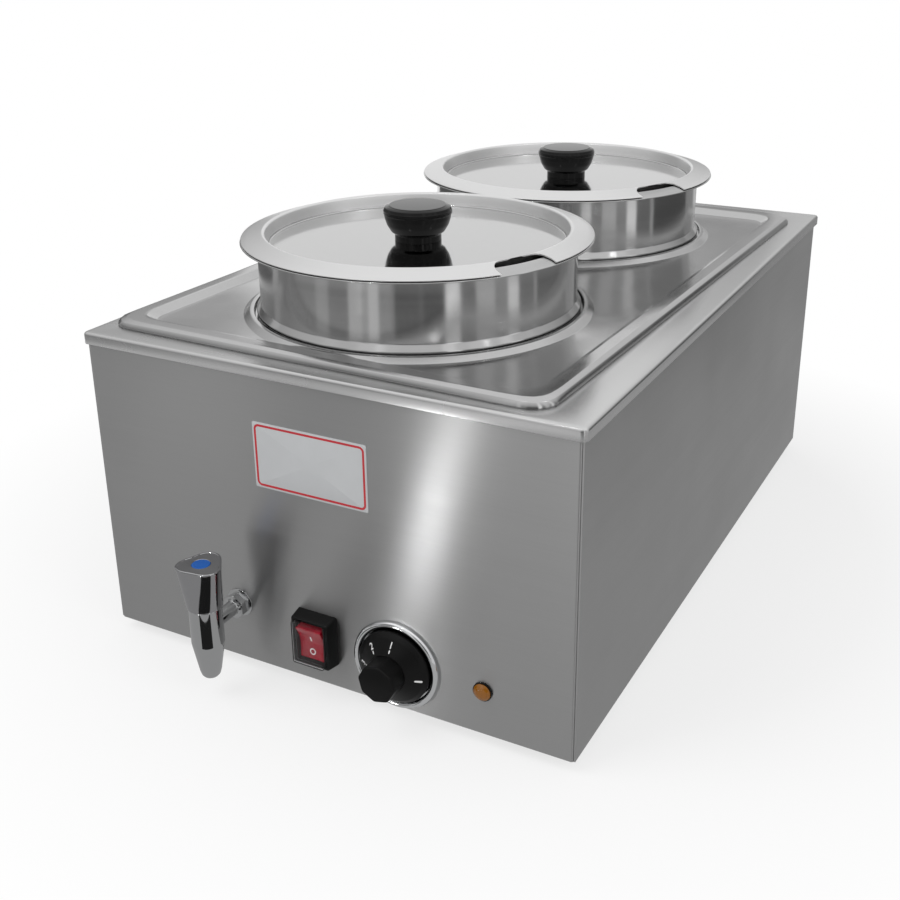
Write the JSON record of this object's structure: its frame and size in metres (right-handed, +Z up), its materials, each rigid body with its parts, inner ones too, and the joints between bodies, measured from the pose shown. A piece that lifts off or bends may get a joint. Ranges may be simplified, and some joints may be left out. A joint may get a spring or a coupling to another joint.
{
  "type": "electric soup chafer",
  "caption": "Heated water bath in a steel casing with an adapter plate, round soup pots with ladle lids, drain tap, thermostat dial and rocker switch",
  "frame": {"origin": "middle of the bounding box, at the level of the surface that the feet stand on", "axes": "+X to the right seen from the front, +Y from the front panel to the back, +Z up"},
  "size_m": [0.36, 0.6034, 0.2993],
  "materials": {
    "casing_steel": "brushed stainless sheet, fine straight grain",
    "polished_steel": "satin-polished stainless sheet",
    "mirror_steel": "near-mirror polished stainless sheet",
    "black_phenolic": "gloss black phenolic moulding",
    "chromed_brass": "bright chrome plate on brass",
    "chrome_trim": "bright chrome plate",
    "bare_brass": "bare brass",
    "zinc_steel": "bright zinc-plated steel",
    "foot_rubber": "black rubber",
    "blue_plastic": "blue insert",
    "hose_silicone": "pale silicone hose",
    "ceramic_white": "pale moulded insulator",
    "dial_plastic": "matt black moulding",
    "switch_black": "black nylon",
    "rocker_red": "red translucent rocker",
    "clear_cover": "clear splash cover",
    "amber_lens": "amber lens",
    "label_face": "pale plate with a red line border",
    "element_sheath": "heat-darkened steel sheath",
    "shield_aluminium": "plain aluminium sheet",
    "copper_bulb": "copper",
    "wire_insulation": "heat-proof wire insulation"
  },
  "bodies": {
    "casing": {"front_panel": "casing_steel", "side_panels": "casing_steel", "back_panel": "casing_steel", "top_deck": "casing_steel", "water_well": "casing_steel", "base_plate": "casing_steel", "feet": "foot_rubber", "foot_screws": "zinc_steel", "foot_nuts": "zinc_steel", "base_screws": "zinc_steel", "tap_body": "chromed_brass", "tap_inlet_pipe": "chromed_brass", "tap_washer": "chromed_brass", "tap_back_nut": "bare_brass", "drain_elbow": "bare_brass", "drain_nut": "bare_brass", "drain_hose": "hose_silicone", "hose_clips": "zinc_steel", "thermostat_body": "ceramic_white", "thermostat_screws": "zinc_steel", "thermostat_bezel": "chrome_trim", "switch_housing": "switch_black", "switch_cover": "clear_cover", "switch_terminals": "bare_brass", "lamp_lens": "amber_lens", "lamp_body": "switch_black", "lamp_nut": "switch_black", "label_plate": "label_face", "heating_element": "element_sheath", "element_clamps": "zinc_steel", "well_studs": "zinc_steel", "stud_nuts": "zinc_steel", "heat_shield": "shield_aluminium", "sensing_bulb": "copper_bulb", "bulb_clips": "zinc_steel", "capillary_tube": "copper_bulb", "overheat_cutout": "ceramic_white", "cable_gland": "switch_black", "gland_nut": "switch_black", "terminal_block": "ceramic_white", "earth_stud": "bare_brass", "supply_wires": "wire_insulation"},
    "adapter_plate": {"adapter_plate": "polished_steel"},
    "pot_front": {"pot_front": "polished_steel"},
    "pot_rear": {"pot_rear": "polished_steel"},
    "lid_front": {"lid_front": "mirror_steel", "lid_knob_front": "black_phenolic", "lid_washer_front": "zinc_steel", "lid_screw_front": "zinc_steel"},
    "lid_rear": {"lid_rear": "mirror_steel", "lid_knob_rear": "black_phenolic", "lid_washer_rear": "zinc_steel", "lid_screw_rear": "zinc_steel"},
    "tap_handle": {"tap_handle": "chromed_brass", "tap_cap": "blue_plastic", "tap_screw": "zinc_steel", "tap_spindle": "bare_brass"},
    "dial": {"thermostat_knob": "dial_plastic", "thermostat_shaft": "zinc_steel"},
    "rocker": {"switch_rocker": "rocker_red"}
  },
  "joints": [
    {"name": "plate_lift", "type": "slide", "parent": "casing", "child": "adapter_plate", "axis": [0, 0, 1], "range_m": [0, 0.25]},
    {"name": "pot_front_lift", "type": "slide", "parent": "adapter_plate", "child": "pot_front", "axis": [0, 0, 1], "range_m": [0, 0.2]},
    {"name": "pot_rear_lift", "type": "slide", "parent": "adapter_plate", "child": "pot_rear", "axis": [0, 0, 1], "range_m": [0, 0.2]},
    {"name": "lid_front_lift", "type": "slide", "parent": "pot_front", "child": "lid_front", "axis": [0, 0, 1], "range_m": [0, 0.08]},
    {"name": "lid_rear_lift", "type": "slide", "parent": "pot_rear", "child": "lid_rear", "axis": [0, 0, 1], "range_m": [0, 0.08]},
    {"name": "tap_turn", "type": "hinge", "parent": "casing", "child": "tap_handle", "pos_m": [-0.0665, -0.28808, 0.075], "axis": [0, 0, 1], "range_deg": [0, 90]},
    {"name": "dial_turn", "type": "hinge", "parent": "casing", "child": "dial", "pos_m": [0.0557, -0.26509, 0.041], "axis": [0, 1, 0], "range_deg": [-105, 165]},
    {"name": "rocker_tip", "type": "hinge", "parent": "casing", "child": "rocker", "pos_m": [-0.0038, -0.25509, 0.0436], "axis": [-1, 0, 0], "range_deg": [0, 20]}
  ]
}
